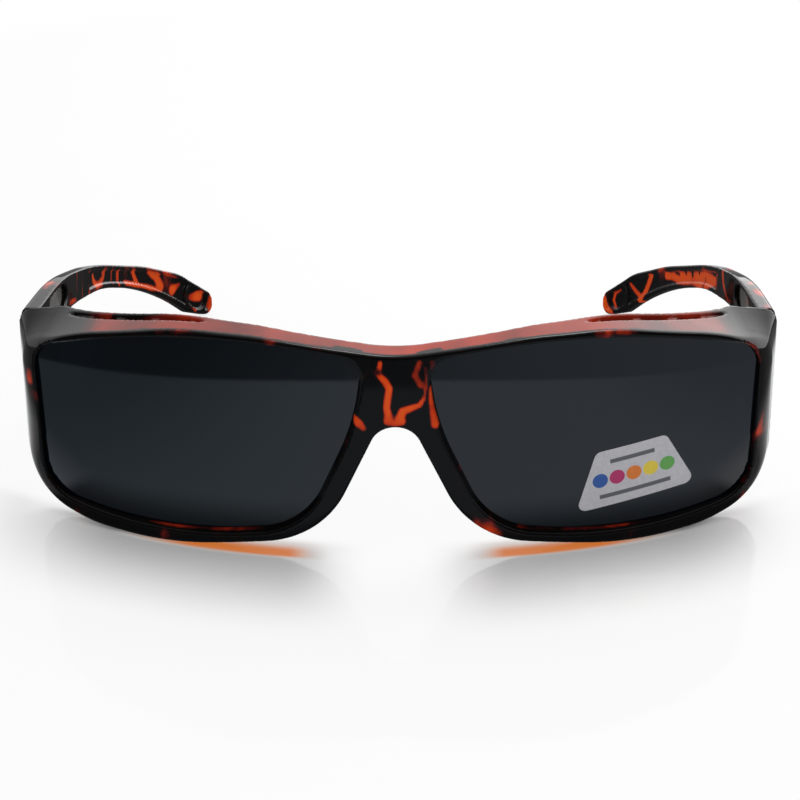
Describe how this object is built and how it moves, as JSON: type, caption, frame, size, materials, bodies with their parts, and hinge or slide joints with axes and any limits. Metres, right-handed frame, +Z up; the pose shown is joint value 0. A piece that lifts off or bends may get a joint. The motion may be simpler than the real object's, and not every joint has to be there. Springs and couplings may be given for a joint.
{
  "type": "driving sunglasses",
  "caption": "Fit-over wraparound driving sunglasses: a vented brow frame with curved tinted lenses and folding temples with side windows.",
  "frame": {"origin": "middle of the footprint, on the table under the open glasses", "axes": "+X to the viewer's right (the wearer's left), +Y from the front to the ears, +Z up"},
  "size_m": [0.155, 0.1306, 0.0468],
  "materials": {
    "front_plastic": "gloss tortoiseshell",
    "temple_plastic": "gloss tortoiseshell",
    "lens_tint": "smoke grey tint, polished",
    "side_lens_tint": "smoke grey tint, polished",
    "hinge_metal": "nickel silver, satin",
    "screw_metal": "steel, satin",
    "sticker_film": "printed film"
  },
  "bodies": {
    "front": {"front_frame": "front_plastic", "lens_left": "lens_tint", "lens_right": "lens_tint", "lens_sticker": "sticker_film", "front_hinge_leaf_left": "hinge_metal", "front_hinge_leaf_right": "hinge_metal", "hinge_screw_left": "screw_metal", "hinge_screw_right": "screw_metal"},
    "temple_left_body": {"temple_left": "temple_plastic", "side_lens_left": "side_lens_tint", "temple_hinge_leaf_left": "hinge_metal"},
    "temple_right_body": {"temple_right": "temple_plastic", "side_lens_right": "side_lens_tint", "temple_hinge_leaf_right": "hinge_metal"}
  },
  "joints": [
    {"name": "temple_left_fold", "type": "hinge", "parent": "front", "child": "temple_left_body", "pos_m": [0.0724, -0.03687, 0.02892], "axis": [0, 0.2079, 0.9781], "range_deg": [0, 90]},
    {"name": "temple_right_fold", "type": "hinge", "parent": "front", "child": "temple_right_body", "pos_m": [-0.0724, -0.03687, 0.02892], "axis": [0, -0.2079, -0.9781], "range_deg": [0, 80]}
  ]
}
